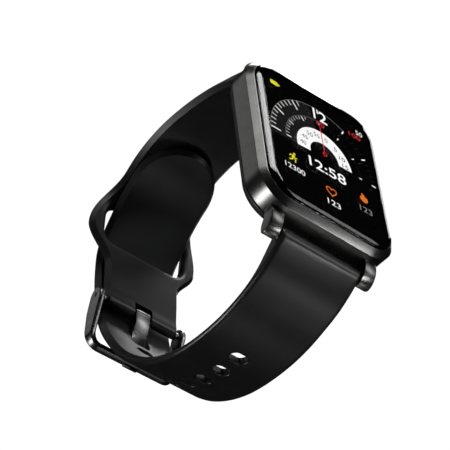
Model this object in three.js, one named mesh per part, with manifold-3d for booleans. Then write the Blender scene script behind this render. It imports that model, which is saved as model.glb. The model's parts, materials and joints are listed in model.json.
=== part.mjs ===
// A square smartwatch on a buckled silicone strap, as an assembly of its real pieces.
//
// Millimetres. The screen faces +Z, 12 o'clock is +Y and the side button is at +X.
// The origin is the centre of the sensor window's outer face, the face that lies on the wrist.
// The strap is closed around an empty wrist: the long half starts at the 6 o'clock lugs,
// goes round outside the buckle end of the short half, and its tail passes inwards
// through the slot of the short half's built-in keeper.

import * as THREE from 'three';
import { mergeVertices } from 'three/addons/utils/BufferGeometryUtils.js';
import Module from 'manifold-3d';

const wasm = await Module();
wasm.setup();

// ---------------------------------------------------------------- driving dimensions

const CASE = { halfX: 18.4, halfY: 21.45, radius: 7.85, back: 3.3, wallTop: 7.7, rim: 9.0 };
const CHAMFER = 1.3;
const WALL = 1.4;
const GLASS = { inset: 1.45, bottom: 8.45, edge: 9.05, top: 9.9, bevel: 2.3 };
const SEAT = { inset: 1.35, floor: 8.1, ledgeInset: 2.65, ledgeBottom: 7.3 };

const LUG = { inner: 11.0, outerAt6: 14.2, outerAt12: 12.6, holeEnd: 12.2, barY: 24.6, barZ: 3.0 };
const LUG_HOLE_RADIUS = 0.65;
const SPRING_BAR = { radius: 0.8, bore: 0.55, halfLength: 10.3 };
const PIN_RADIUS = 0.4;
const KNOB = { start: 5.0, end: 6.4, travel: 1.2 };

const STRAP = { thickness: 1.9, lugHalfWidth: 10.7, halfWidth: 10.3, edge: 0.7, knuckle: 1.9 };
const FLEX_GAP = 0.5;
const LONG_FLEX = 22.0;
const SHORT_FLEX = 24.0;
const HOLES = { count: 9, first: 26.7, pitch: 5.3, halfWidth: 2.1, halfLength: 1.3 };
const KEEPER = { middle: 60, rise: 15, fall: 9, halfWidth: 15.1, slotHalfWidth: 11.6,
  slotStart: 54.3, slotEnd: 63.4 };

const BAR = { y: -0.2, z: -49.9, radius: 0.6, halfLength: 11.9 };
const KNUCKLE_RADIUS = 1.3;
const ARM = { inner: 10.75, outer: 12.15 };
const TANG = { halfWidth: 1.9, thickness: 0.9, notchHalfWidth: 2.4 };

// Middle line of each strap half in the Y, Z plane, from its spring bar to its end.
const longPath = pathThrough([
  [-24.6, 3.0], [-29.4, -4.0], [-32.2, -13.0], [-32.6, -21.5], [-31.1, -30.2], [-26.8, -38.6],
  [-20.0, -45.4], [-11.5, -50.1], [-6.3, -51.8], [-1.5, -52.4], [4.0, -52.4], [11.0, -51.6],
  [15.4, -50.5], [18.6, -48.3], [23.3, -43.5], [26.6, -39.2], [30.0, -32.4], [31.6, -26.6],
]);
const shortPath = pathThrough([
  [24.6, 3.0], [28.7, -3.6], [31.9, -11.0], [33.9, -19.5], [34.4, -27.5], [32.8, -35.4],
  [29.2, -41.5], [24.4, -45.6], [16.8, -47.8], [7.0, -48.8], [BAR.y, BAR.z],
]);

const COLOURS = {
  gunmetal: [0x4b4b49, 0.45, 0.9],
  steel: [0xa9adb0, 0.3, 1.0],
  silicone: [0x141415, 0.6, 0.0],
  glass: [0x0c0c0e, 0.05, 0.0],
  blackPlastic: [0x1a1a1b, 0.5, 0.0],
  rubber: [0x202020, 0.8, 0.0],
  board: [0x14402a, 0.6, 0.1],
  battery: [0x8d9194, 0.45, 0.6],
  gold: [0xc9a24a, 0.3, 1.0],
};

// ---------------------------------------------------------------- shape helpers

function pathThrough(points) {
  const vectors = points.map(([y, z]) => new THREE.Vector3(0, y, z));
  const path = new THREE.CatmullRomCurve3(vectors, false, 'centripetal');
  path.arcLengthDivisions = 600;
  return path;
}

// A closed body through rings of points that all have the same count.
function loft(rings) {
  const count = rings[0].length;
  const positions = rings.flat().flatMap((point) => [point.x, point.y, point.z]);
  const index = [];
  for (let ring = 0; ring < rings.length - 1; ring += 1) {
    for (let i = 0; i < count; i += 1) {
      const next = (i + 1) % count;
      const a = ring * count + i;
      const b = ring * count + next;
      index.push(a, b, a + count);
      index.push(b, b + count, a + count);
    }
  }
  const last = (rings.length - 1) * count;
  for (let i = 1; i < count - 1; i += 1) {
    index.push(0, i + 1, i);
    index.push(last, last + i, last + i + 1);
  }
  const geometry = new THREE.BufferGeometry();
  geometry.setAttribute('position', new THREE.Float32BufferAttribute(positions, 3));
  geometry.setIndex(facesPointOut(positions, index) ? index : index.reverse());
  return geometry;
}

function facesPointOut(positions, index) {
  const corner = (i) => new THREE.Vector3().fromArray(positions, 3 * index[i]);
  let volume = 0;
  for (let i = 0; i < index.length; i += 3) {
    volume += corner(i).dot(corner(i + 1).cross(corner(i + 2)));
  }
  return volume > 0;
}

// One rounded rectangle, as a ring of points at height z.
function roundedRing(halfX, halfY, radius, z, steps = 6) {
  const ring = [];
  for (let quarter = 0; quarter < 4; quarter += 1) {
    const signX = quarter === 0 || quarter === 3 ? 1 : -1;
    const signY = quarter < 2 ? 1 : -1;
    for (let i = 0; i <= steps; i += 1) {
      const angle = (quarter + i / steps) * Math.PI / 2;
      const x = signX * (halfX - radius) + radius * Math.cos(angle);
      const y = signY * (halfY - radius) + radius * Math.sin(angle);
      ring.push(new THREE.Vector3(x, y, z));
    }
  }
  return ring;
}

// The watch case's own outline, moved in by each layer's inset.
function caseStack(layers) {
  return loft(layers.map(([z, inset]) => roundedRing(
    CASE.halfX - inset, CASE.halfY - inset, Math.max(CASE.radius - inset, 0.8), z)));
}

function plate(halfX, halfY, radius, bottom, top, x = 0, y = 0, steps = 3) {
  const rings = [bottom, top].map((z) => roundedRing(halfX, halfY, radius, z, steps));
  return loft(rings).translate(x, y, 0);
}

function block(x0, x1, y0, y1, z0, z1) {
  const geometry = new THREE.BoxGeometry(x1 - x0, y1 - y0, z1 - z0);
  return geometry.translate((x0 + x1) / 2, (y0 + y1) / 2, (z0 + z1) / 2);
}

function rodAlongX(radius, x0, x1, y, z, sides = 16) {
  const geometry = new THREE.CylinderGeometry(radius, radius, x1 - x0, sides);
  return geometry.rotateZ(Math.PI / 2).translate((x0 + x1) / 2, y, z);
}

function post(radius, x, y, z0, z1, sides = 20) {
  const geometry = new THREE.CylinderGeometry(radius, radius, z1 - z0, sides);
  return geometry.rotateX(Math.PI / 2).translate(x, y, (z0 + z1) / 2);
}

// An outline in the Y, Z plane, made solid between two places on X.
function profileAlongX(points, x0, x1) {
  const outline = new THREE.Shape(points.map(([y, z]) => new THREE.Vector2(y, z)));
  const geometry = new THREE.ExtrudeGeometry(outline, { depth: x1 - x0, bevelEnabled: false });
  geometry.rotateY(Math.PI / 2).rotateX(Math.PI / 2);
  return geometry.translate(x0, 0, 0);
}

// A flat band with rounded edges that follows a path, from one arc length to another.
function band(path, stations, halfWidthAt, thickness, edge) {
  const length = path.getLength();
  const rings = stations.map((station) => {
    const u = THREE.MathUtils.clamp(station / length, 0, 1);
    const point = path.getPointAt(u);
    const tangent = path.getTangentAt(u);
    const normal = new THREE.Vector3(0, -tangent.z, tangent.y);
    const halfWidth = halfWidthAt(station);
    return bandSection(halfWidth, thickness / 2, Math.min(edge, halfWidth * 0.9)).map(([x, n]) =>
      new THREE.Vector3(x, 0, 0).add(point).addScaledVector(normal, n));
  });
  return loft(rings);
}

function bandSection(halfWidth, halfThickness, edge) {
  const x = halfWidth;
  const n = halfThickness;
  const soft = edge * 0.55;
  return [
    [x - edge, n], [-x + edge, n], [-x + edge * 0.3, n * 0.72], [-x, n - soft - 0.3],
    [-x, -n + soft + 0.3], [-x + edge * 0.3, -n * 0.72], [-x + edge, -n],
    [x - edge, -n], [x - edge * 0.3, -n * 0.72], [x, -n + soft + 0.3],
    [x, n - soft - 0.3], [x - edge * 0.3, n * 0.72],
  ];
}

function evenStations(start, end, step) {
  const count = Math.max(1, Math.round((end - start) / step));
  return Array.from({ length: count + 1 }, (_, i) => start + (end - start) * i / count);
}

// ---------------------------------------------------------------- cutting and joining

function toSolid(geometry) {
  const bare = geometry.clone();
  bare.deleteAttribute('normal');
  bare.deleteAttribute('uv');
  const merged = mergeVertices(bare, 1e-4);
  return new wasm.Manifold(new wasm.Mesh({
    numProp: 3,
    vertProperties: new Float32Array(merged.attributes.position.array),
    triVerts: new Uint32Array(merged.index.array),
  }));
}

function toGeometry(solid) {
  const mesh = solid.getMesh();
  const geometry = new THREE.BufferGeometry();
  geometry.setAttribute('position', new THREE.Float32BufferAttribute(mesh.vertProperties, 3));
  geometry.setIndex(Array.from(mesh.triVerts));
  return geometry;
}

function shaped(base, added, removed) {
  let solid = toSolid(base);
  for (const piece of added) {
    solid = solid.add(toSolid(piece));
  }
  for (const piece of removed) {
    solid = solid.subtract(toSolid(piece));
  }
  return toGeometry(solid);
}

const watch = new THREE.Group();

function addPart(name, geometry, colourName) {
  const [colour, roughness, metalness] = COLOURS[colourName];
  const material = new THREE.MeshStandardMaterial({ color: colour, roughness, metalness });
  geometry.computeVertexNormals();
  const mesh = new THREE.Mesh(geometry, material);
  mesh.name = name;
  watch.add(mesh);
}

// ---------------------------------------------------------------- case and its cover

const BUTTON = { y: -0.9, z: 5.9, halfLength: 2.6, halfHeight: 1.25, stemRadius: 0.8 };
const MICROPHONE_HOLE = { x: -2.4, z: 4.3, radius: 0.45 };
const SCREWS = [[1, 1], [-1, 1], [-1, -1], [1, -1]].map(([x, y]) => [x * 13.9, y * 16.6]);
const BOSS_RADIUS = 2.1;

// Side view of one lug: out from the wall, down over the spring bar and back.
function lug(sideX, sideY) {
  const profile = [
    [20.4, 6.2], [22.0, 6.15], [23.5, 5.75], [24.7, 4.95], [25.4, 4.15], [25.8, 3.3],
    [25.8, 2.6], [25.3, 2.0], [24.4, 2.1], [23.4, 2.5], [22.2, 3.3], [20.4, 3.9],
  ].map(([y, z]) => [sideY * y, z]);
  const outer = sideY > 0 ? LUG.outerAt12 : LUG.outerAt6;
  const x0 = Math.min(sideX * LUG.inner, sideX * outer);
  return profileAlongX(profile, x0, x0 + outer - LUG.inner);
}

function lugHole(sideX, sideY) {
  const start = LUG.inner - 0.5;
  const x0 = Math.min(sideX * start, sideX * LUG.holeEnd);
  return rodAlongX(LUG_HOLE_RADIUS, x0, x0 + LUG.holeEnd - start, sideY * LUG.barY, LUG.barZ);
}

function caseFrame() {
  const body = caseStack([
    [CASE.back, 0.25], [CASE.back + 0.3, 0], [CASE.wallTop, 0], [CASE.rim, CHAMFER],
  ]);
  const corners = [[1, 1], [-1, 1], [-1, -1], [1, -1]];
  const lugs = corners.map(([x, y]) => lug(x, y));
  const lugHoles = corners.map(([x, y]) => lugHole(x, y));
  const room = caseStack([[CASE.back - 1, WALL], [SEAT.ledgeBottom, WALL]]);
  const window = caseStack([[SEAT.ledgeBottom - 0.1, SEAT.ledgeInset], [CASE.rim + 1, SEAT.ledgeInset]]);
  const seat = caseStack([[SEAT.floor, SEAT.inset], [CASE.rim + 1, SEAT.inset]]);
  const bosses = SCREWS.map(([x, y]) => post(BOSS_RADIUS, x, y, 4.9, 6.85));
  const screwHoles = SCREWS.map(([x, y]) => post(0.8, x, y, 4.5, 6.8, 12));
  const stemHole = rodAlongX(BUTTON.stemRadius + 0.2, 15, 20, BUTTON.y, BUTTON.z);
  const buttonRecess = block(CASE.halfX - 0.7, 20, BUTTON.y - BUTTON.halfLength - 0.15,
    BUTTON.y + BUTTON.halfLength + 0.15, BUTTON.z - BUTTON.halfHeight - 0.15,
    BUTTON.z + BUTTON.halfHeight + 0.15);
  const micHole = post(MICROPHONE_HOLE.radius, 0, 0, 0, 3, 12).rotateX(Math.PI / 2)
    .translate(MICROPHONE_HOLE.x, -CASE.halfY + 2.5, MICROPHONE_HOLE.z);
  const hollow = shaped(body, lugs, [room, window, seat, stemHole, buttonRecess, micHole, ...lugHoles]);
  return shaped(hollow, bosses, screwHoles);
}

const WINDOW_RADIUS = 10.5;
const CONTACTS = [-3, 3].map((x) => [x, -14.6]);

function backCover() {
  const body = caseStack([
    [0.55, 6.65], [0.75, 4.05], [1.35, 1.65], [2.3, 0.65], [3.05, 0.45],
  ]);
  const upstand = caseStack([[2.9, 2.25], [4.6, 2.25]]);
  const inside = caseStack([[2.35, 3.25], [5.0, 3.25]]);
  const windowHole = post(WINDOW_RADIUS + 0.15, 0, 0, -1, 1.35, 40);
  const lightHole = post(6.5, 0, 0, 1, 3, 32);
  const screwHoles = SCREWS.map(([x, y]) => post(0.85, x, y, 0, 5, 12));
  const screwSinks = SCREWS.map(([x, y]) => post(1.45, x, y, 0, 2.4, 16));
  const contactHoles = CONTACTS.map(([x, y]) => post(1.25, x, y, 0, 3, 16));
  const screwPads = SCREWS.map(([x, y]) => post(1.55, x, y, 2.0, 3.2, 16));
  const cup = shaped(body, [upstand], [inside]);
  return shaped(cup, screwPads, [windowHole, lightHole, ...screwHoles, ...screwSinks, ...contactHoles]);
}

addPart('case_frame', caseFrame(), 'gunmetal');
addPart('back_cover', backCover(), 'blackPlastic');
addPart('back_gasket', shaped(
  caseStack([[3.4, 1.5], [4.2, 1.5]]), [], [caseStack([[3, 2.15], [5, 2.15]])]), 'rubber');

function sensorWindow() {
  const rings = [[0, WINDOW_RADIUS - 0.4], [0.35, WINDOW_RADIUS], [1.25, WINDOW_RADIUS]];
  return loft(rings.map(([z, radius]) => roundedRing(radius, radius, radius, z, 9)));
}

addPart('sensor_window', sensorWindow(), 'glass');
addPart('sensor_board', plate(4.6, 4.2, 0.8, 1.7, 2.5), 'board');
CONTACTS.forEach(([x, y], i) => addPart(`charging_contact_${i + 1}`, post(1.1, x, y, 0.65, 2.7, 16), 'gold'));
SCREWS.forEach(([x, y], i) => addPart(`back_screw_${i + 1}`,
  shaped(post(1.3, x, y, 1.5, 2.3, 16), [post(0.65, x, y, 2.2, 6.6, 12)],
    [block(x - 0.9, x + 0.9, y - 0.15, y + 0.15, 1.3, 1.8)]), 'steel'));

// ---------------------------------------------------------------- glass and display

// A flat sheet whose face rolls down, as a quarter of an ellipse, to a thin edge all round.
function frontGlass() {
  const roll = [0, 30, 60, 90].map((degrees) => {
    const angle = THREE.MathUtils.degToRad(degrees);
    const z = GLASS.edge + (GLASS.top - GLASS.edge) * Math.sin(angle);
    return [z, GLASS.inset + GLASS.bevel * (1 - Math.cos(angle))];
  });
  return caseStack([[GLASS.bottom, GLASS.inset], ...roll]);
}

addPart('front_glass', frontGlass(), 'glass');
addPart('display_gasket', shaped(
  caseStack([[8.2, 1.55], [8.35, 1.55]]), [], [caseStack([[8, 2.55], [9, 2.55]])]), 'rubber');
addPart('display_panel', caseStack([[7.0, 2.85], [8.3, 2.85]]), 'blackPlastic');

// ---------------------------------------------------------------- inside the case

function mainBoard() {
  const sheet = caseStack([[5.8, 2.05], [6.6, 2.05]]);
  const bossRoom = SCREWS.map(([x, y]) => post(BOSS_RADIUS + 0.3, x, y, 5, 7, 16));
  const stemRoom = block(15.5, 18, BUTTON.y - 1.2, BUTTON.y + 1.2, 5, 7);
  return shaped(sheet, [], [...bossRoom, stemRoom]);
}

addPart('main_board', mainBoard(), 'board');
addPart('battery', plate(9.5, 8.5, 1.2, 2.8, 5.4, -3, 3), 'battery');
addPart('speaker', plate(4.4, 3.0, 0.8, 2.8, 5.4, 6, -11), 'blackPlastic');
addPart('microphone', plate(1.5, 1.0, 0.2, 4.0, 5.4, MICROPHONE_HOLE.x, -16.2), 'steel');

const MOTOR = { x: -7, y: -11, radius: 4.0, bottom: 2.7, top: 5.4 };

function motorCan() {
  const outer = post(MOTOR.radius, MOTOR.x, MOTOR.y, MOTOR.bottom + 0.4, MOTOR.top, 28);
  return shaped(outer, [], [post(MOTOR.radius - 0.3, MOTOR.x, MOTOR.y, 2, MOTOR.top - 0.3, 28)]);
}

function motorRotor() {
  const disc = post(3.3, MOTOR.x, MOTOR.y, 3.5, 4.7, 28);
  const bore = post(0.5, MOTOR.x, MOTOR.y, 3, 5.5, 12);
  const openSide = block(MOTOR.x - 4, MOTOR.x + 4, MOTOR.y + 0.9, MOTOR.y + 5, 3, 5);
  return shaped(disc, [], [bore, openSide]);
}

function motorBase() {
  const disc = post(MOTOR.radius, MOTOR.x, MOTOR.y, MOTOR.bottom, MOTOR.bottom + 0.3, 28);
  return shaped(disc, [post(0.4, MOTOR.x, MOTOR.y, MOTOR.bottom, 4.9, 12)], []);
}

addPart('motor_can', motorCan(), 'steel');
addPart('motor_base', motorBase(), 'steel');
addPart('motor_rotor', motorRotor(), 'gold');

// ---------------------------------------------------------------- side button

function sideButton() {
  const cap = plate(BUTTON.halfHeight, BUTTON.halfLength, 1.2, CASE.halfX - 0.1, CASE.halfX + 0.75,
    0, 0, 5).rotateY(Math.PI / 2).translate(0, BUTTON.y, BUTTON.z);
  const stem = rodAlongX(BUTTON.stemRadius, 16.3, CASE.halfX + 0.2, BUTTON.y, BUTTON.z);
  return shaped(cap, [stem], []);
}

addPart('side_button', sideButton(), 'gunmetal');
addPart('button_seal', shaped(
  rodAlongX(1.25, 16.45, 16.9, BUTTON.y, BUTTON.z), [],
  [rodAlongX(BUTTON.stemRadius + 0.05, 16, 18, BUTTON.y, BUTTON.z)]), 'rubber');
addPart('button_switch', plate(1.0, 1.6, 0.3, 5.1, 5.7, 14.7, BUTTON.y), 'steel');

// ---------------------------------------------------------------- spring bars

const LONG_SIDE = { name: '6', y: -LUG.barY, knobTowards: 1 };
const SHORT_SIDE = { name: '12', y: LUG.barY, knobTowards: -1 };

// The lever's knob stands out of the tube towards the case back, along this direction.
function knobDirection(side) {
  return { y: side.knobTowards * 0.55, z: -0.84 };
}

function knob(side, x0, x1, radius, reach) {
  const direction = knobDirection(side);
  const angle = Math.atan2(direction.z, direction.y);
  const geometry = new THREE.BoxGeometry(x1 - x0, reach, radius * 2);
  geometry.translate((x0 + x1) / 2, reach / 2, 0).rotateX(angle);
  return geometry.translate(0, side.y, LUG.barZ);
}

function springBar(side) {
  const tube = rodAlongX(SPRING_BAR.radius, -SPRING_BAR.halfLength, SPRING_BAR.halfLength, side.y, LUG.barZ);
  const fixedPin = rodAlongX(PIN_RADIUS, -11.9, -10, side.y, LUG.barZ, 12);
  const bore = rodAlongX(SPRING_BAR.bore, 2.5, 12, side.y, LUG.barZ, 14);
  const slot = knob(side, KNOB.start - KNOB.travel - 0.2, KNOB.end + 0.2, 0.35, 2);
  return shaped(tube, [fixedPin], [bore, slot]);
}

function quickRelease(side) {
  const pin = rodAlongX(PIN_RADIUS, 4.2, 11.9, side.y, LUG.barZ, 12);
  return shaped(pin, [knob(side, KNOB.start, KNOB.end, 0.22, 2.5)], []);
}

// ---------------------------------------------------------------- strap halves

function longHalfWidth(station) {
  const tailRadius = STRAP.halfWidth;
  const tailCentre = longPath.getLength() - tailRadius;
  if (station > tailCentre) {
    const along = Math.min((station - tailCentre) / tailRadius, 0.995);
    return tailRadius * Math.sqrt(1 - along * along);
  }
  const share = THREE.MathUtils.clamp(station / 60, 0, 1);
  return THREE.MathUtils.lerp(STRAP.lugHalfWidth, STRAP.halfWidth, share);
}

function shortHalfWidth(station) {
  const share = THREE.MathUtils.clamp(station / 45, 0, 1);
  const plain = THREE.MathUtils.lerp(STRAP.lugHalfWidth, 10.2, share);
  const reach = station < KEEPER.middle ? KEEPER.rise : KEEPER.fall;
  const away = Math.min(Math.abs(station - KEEPER.middle) / reach, 1);
  const flare = 0.5 + 0.5 * Math.cos(Math.PI * away);
  return plain + (KEEPER.halfWidth - plain) * flare;
}

function knuckle(side, margin = 0) {
  return rodAlongX(STRAP.knuckle + margin, -STRAP.lugHalfWidth - margin, STRAP.lugHalfWidth + margin,
    side.y, LUG.barZ, 20);
}

// The upper piece of a strap half: its knuckle round the spring bar, down to the flex line.
function strapUpper(side, path, flexAt, halfWidthAt) {
  const run = band(path, evenStations(0.4, flexAt - FLEX_GAP / 2, 2.4), halfWidthAt,
    STRAP.thickness, STRAP.edge);
  const bore = rodAlongX(SPRING_BAR.radius + 0.2, -12, 12, side.y, LUG.barZ);
  const leverWindow = knob(side, KNOB.start - KNOB.travel - 0.5, KNOB.end + 0.6, 0.9, 4);
  return shaped(knuckle(side), [run], [bore, leverWindow]);
}

// One oblong hole, cut square through the strap at a place along the path.
function strapHole(path, station, halfWidth, halfLength) {
  const u = station / path.getLength();
  const point = path.getPointAt(u);
  const tangent = path.getTangentAt(u);
  const hole = plate(halfWidth, halfLength, halfLength * 0.8, -3, 3, 0, 0, 4);
  hole.rotateX(Math.atan2(tangent.z, tangent.y));
  return hole.translate(0, point.y, point.z);
}

const tangPath = pathThrough([
  [0.2, -49.1], [-2.6, -49.7], [-5.2, -51.0], [-7.2, -52.7], [-9.2, -54.2], [-11.4, -54.5],
]);

function tangRoom() {
  const length = tangPath.getLength();
  return band(tangPath, evenStations(4.0, length * 0.9, 1.2), () => TANG.notchHalfWidth, 2.3, 0.3);
}

function longLower() {
  const length = longPath.getLength();
  const tailCentre = length - STRAP.halfWidth;
  const roundEnd = [15, 30, 45, 58, 70, 80].map((degrees) =>
    tailCentre + STRAP.halfWidth * Math.sin(THREE.MathUtils.degToRad(degrees)));
  const stations = [...evenStations(LONG_FLEX + FLEX_GAP / 2, tailCentre, 2.4), ...roundEnd];
  const run = band(longPath, stations, longHalfWidth, STRAP.thickness, STRAP.edge);
  const holes = Array.from({ length: HOLES.count - 1 }, (_, i) => strapHole(
    longPath, HOLES.first + HOLES.pitch * i, HOLES.halfWidth, HOLES.halfLength));
  return shaped(run, [], [...holes, tangRoom()]);
}

function shortLower() {
  const length = shortPath.getLength();
  const stations = evenStations(SHORT_FLEX + FLEX_GAP / 2, length, 2.2);
  const run = band(shortPath, stations, shortHalfWidth, STRAP.thickness, STRAP.edge);
  const endRoll = rodAlongX(KNUCKLE_RADIUS, -10.2, 10.2, BAR.y, BAR.z, 20);
  const slotStations = evenStations(KEEPER.slotStart, KEEPER.slotEnd, 1.8);
  const middle = (KEEPER.slotStart + KEEPER.slotEnd) / 2;
  const halfSlot = (KEEPER.slotEnd - KEEPER.slotStart) / 2;
  const slotHalfWidth = (station) => {
    const away = Math.abs(station - middle) / halfSlot;
    return KEEPER.slotHalfWidth - 1.4 * Math.pow(away, 4);
  };
  const slot = band(shortPath, slotStations, slotHalfWidth, 6, 0.2);
  const barBore = rodAlongX(BAR.radius + 0.15, -12, 12, BAR.y, BAR.z);
  const tangNotch = block(-TANG.notchHalfWidth, TANG.notchHalfWidth, BAR.y - 2.2, BAR.y + 2.0,
    BAR.z - 2.5, BAR.z + 2.5);
  return shaped(run, [endRoll], [slot, barBore, tangNotch]);
}

for (const side of [LONG_SIDE, SHORT_SIDE]) {
  addPart(`spring_bar_${side.name}`, springBar(side), 'steel');
  addPart(`quick_release_${side.name}`, quickRelease(side), 'steel');
}
addPart('long_strap_upper', strapUpper(LONG_SIDE, longPath, LONG_FLEX, longHalfWidth), 'silicone');
addPart('long_strap_lower', longLower(), 'silicone');
addPart('short_strap_upper', strapUpper(SHORT_SIDE, shortPath, SHORT_FLEX, shortHalfWidth), 'silicone');
addPart('short_strap_lower', shortLower(), 'silicone');

// ---------------------------------------------------------------- buckle

function buckleFrame() {
  const armOutline = [
    [1.6, -49.2], [0.6, -48.5], [-1.2, -48.7], [-4.2, -50.2], [-8.0, -52.0], [-10.4, -53.0],
    [-11.7, -53.6], [-11.9, -54.5], [-11.0, -55.1], [-7.6, -55.0], [-3.4, -54.0], [0.6, -52.2],
    [1.7, -50.8],
  ];
  const arms = [-ARM.outer, ARM.inner].map((x) => profileAlongX(armOutline, x, x + ARM.outer - ARM.inner));
  const crossbarOutline = [
    [-9.9, -53.2], [-11.1, -53.2], [-11.7, -53.8], [-11.8, -54.5], [-11.0, -55.0], [-10.0, -54.9],
    [-9.6, -54.2],
  ];
  const crossbar = profileAlongX(crossbarOutline, -ARM.outer + 0.3, ARM.outer - 0.3);
  const barBore = rodAlongX(BAR.radius + 0.1, -13, 13, BAR.y, BAR.z);
  const tipSeat = block(-TANG.notchHalfWidth, TANG.notchHalfWidth, -13, -9, -56, -53.75);
  return shaped(arms[0], [arms[1], crossbar], [barBore, tipSeat]);
}

function tang() {
  const blade = band(tangPath, evenStations(0, tangPath.getLength(), 1.3), () => TANG.halfWidth,
    TANG.thickness, 0.2);
  const ring = rodAlongX(KNUCKLE_RADIUS, -TANG.halfWidth, TANG.halfWidth, BAR.y, BAR.z);
  const bore = rodAlongX(BAR.radius + 0.15, -5, 5, BAR.y, BAR.z);
  return shaped(blade, [ring], [bore]);
}

addPart('buckle_frame', buckleFrame(), 'gunmetal');
addPart('buckle_bar', rodAlongX(BAR.radius, -BAR.halfLength, BAR.halfLength, BAR.y, BAR.z), 'steel');
addPart('tang', tang(), 'gunmetal');

export default watch;
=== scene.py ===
"""The looks of a square smartwatch on a buckled silicone strap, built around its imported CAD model.

Outlines are worked out in millimetres and turned into metres where a mesh is made.
The screen faces +Z, 12 o'clock is +Y and the side button is at +X.
"""

import json
import math

import bmesh
import bpy
import numpy as np
from mathutils import Matrix, Vector
from mathutils.geometry import delaunay_2d_cdt


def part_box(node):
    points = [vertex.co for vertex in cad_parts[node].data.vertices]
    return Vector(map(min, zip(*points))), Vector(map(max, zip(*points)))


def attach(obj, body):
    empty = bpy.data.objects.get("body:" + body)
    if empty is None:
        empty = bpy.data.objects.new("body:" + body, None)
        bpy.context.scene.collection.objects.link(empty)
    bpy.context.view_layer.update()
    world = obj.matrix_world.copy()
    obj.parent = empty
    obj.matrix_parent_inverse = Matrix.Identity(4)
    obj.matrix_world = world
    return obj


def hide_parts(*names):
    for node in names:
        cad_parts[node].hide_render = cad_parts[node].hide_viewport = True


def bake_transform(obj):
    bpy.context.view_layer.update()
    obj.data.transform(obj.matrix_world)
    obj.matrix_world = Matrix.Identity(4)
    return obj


MM = 0.001
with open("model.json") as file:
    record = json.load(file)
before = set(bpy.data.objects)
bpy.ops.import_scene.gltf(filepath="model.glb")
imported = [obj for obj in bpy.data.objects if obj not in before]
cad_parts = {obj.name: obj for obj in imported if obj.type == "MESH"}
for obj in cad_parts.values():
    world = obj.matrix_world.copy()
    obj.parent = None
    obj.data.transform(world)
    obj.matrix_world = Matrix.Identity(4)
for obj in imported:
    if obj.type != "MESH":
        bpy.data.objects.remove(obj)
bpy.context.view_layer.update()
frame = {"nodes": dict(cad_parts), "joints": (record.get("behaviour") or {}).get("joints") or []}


def node_box(node):
    """A CAD node's lowest and highest corner, in millimetres."""
    low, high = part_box(node)
    return np.array(low) / MM, np.array(high) / MM


def joint_place(name):
    """A hinge's point in the Y, Z plane, in millimetres."""
    joint = next(joint for joint in frame["joints"] if joint["name"] == name)
    return np.array(joint["pos_m"][1:]) / MM


# ------------------------------------------------------------ camera and studio

CAMERA_LENS = 180.24
CAMERA_PLACE = (-242.74, -337.78, 213.57)
CAMERA_RIGHT = (0.75138, -0.08427, 0.65446)
CAMERA_UP = (-0.42489, 0.69704, 0.57759)
WORLD_STRENGTH = 0.006


def make_camera():
    """A long lens that looks down on the watch from in front and from the left."""
    data = bpy.data.cameras.new("camera")
    data.sensor_width = 36.0
    data.lens = CAMERA_LENS
    data.clip_end = 20.0
    camera = bpy.data.objects.new("camera", data)
    bpy.context.collection.objects.link(camera)
    right = Vector(CAMERA_RIGHT)
    up = Vector(CAMERA_UP)
    back = right.cross(up)
    turn = Matrix((right, up, back)).transposed().to_4x4()
    camera.matrix_world = Matrix.Translation(Vector(CAMERA_PLACE) * MM) @ turn
    bpy.context.scene.camera = camera


def make_world():
    """An almost dark surround, because the light cards do the lighting."""
    world = bpy.data.worlds.new("studio")
    world.use_nodes = True
    shade = world.node_tree.nodes["Background"]
    shade.inputs["Color"].default_value = (1.0, 1.0, 1.0, 1.0)
    shade.inputs["Strength"].default_value = WORLD_STRENGTH
    bpy.context.scene.world = world
    bpy.context.scene.view_settings.view_transform = "Standard"


make_camera()
make_world()


# ------------------------------------------------------------ materials

def link(material, from_socket, to_socket):
    material.node_tree.links.new(from_socket, to_socket)


def add_node(material, kind, **inputs):
    node = material.node_tree.nodes.new(kind)
    for name, value in inputs.items():
        node.inputs[name].default_value = value
    return node


def principled(name, colour, roughness, metallic=0.0, **sockets):
    material = bpy.data.materials.new(name)
    material.use_nodes = True
    shader = material.node_tree.nodes["Principled BSDF"]
    shader.inputs["Base Color"].default_value = (*colour, 1.0)
    shader.inputs["Roughness"].default_value = roughness
    shader.inputs["Metallic"].default_value = metallic
    for socket, value in sockets.items():
        shader.inputs[socket.replace("_", " ")].default_value = value
    return material


def noise(material, scale, detail=3.0, stretch=(1.0, 1.0, 1.0)):
    """Noise in the object's own metres, stretched along an axis for a brushed look."""
    place = add_node(material, "ShaderNodeTexCoord")
    mapping = add_node(material, "ShaderNodeMapping", Scale=stretch)
    texture = add_node(material, "ShaderNodeTexNoise", Scale=scale, Detail=detail)
    link(material, place.outputs["Object"], mapping.inputs["Vector"])
    link(material, mapping.outputs["Vector"], texture.inputs["Vector"])
    return texture.outputs["Fac"]


def drive(material, output, socket):
    """Lets a node's output set one of the shader's sockets."""
    link(material, output, material.node_tree.nodes["Principled BSDF"].inputs[socket])


def spread(material, pattern, source, target):
    """Maps a pattern's values from one pair of limits to another."""
    limits = {"From Min": source[0], "From Max": source[1], "To Min": target[0], "To Max": target[1]}
    mapped = add_node(material, "ShaderNodeMapRange", **limits)
    link(material, pattern, mapped.inputs["Value"])
    return mapped


def vary_roughness(material, pattern, low, high):
    mapped = spread(material, pattern, (0.3, 0.7), (low, high))
    drive(material, mapped.outputs["Result"], "Roughness")


def vary_colour(material, pattern, dark, light):
    ramp = add_node(material, "ShaderNodeValToRGB")
    for stop, position, colour in zip(ramp.color_ramp.elements, (0.35, 0.65), (dark, light)):
        stop.position = position
        stop.color = (*colour, 1.0)
    link(material, pattern, ramp.inputs["Fac"])
    drive(material, ramp.outputs["Color"], "Base Color")


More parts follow.
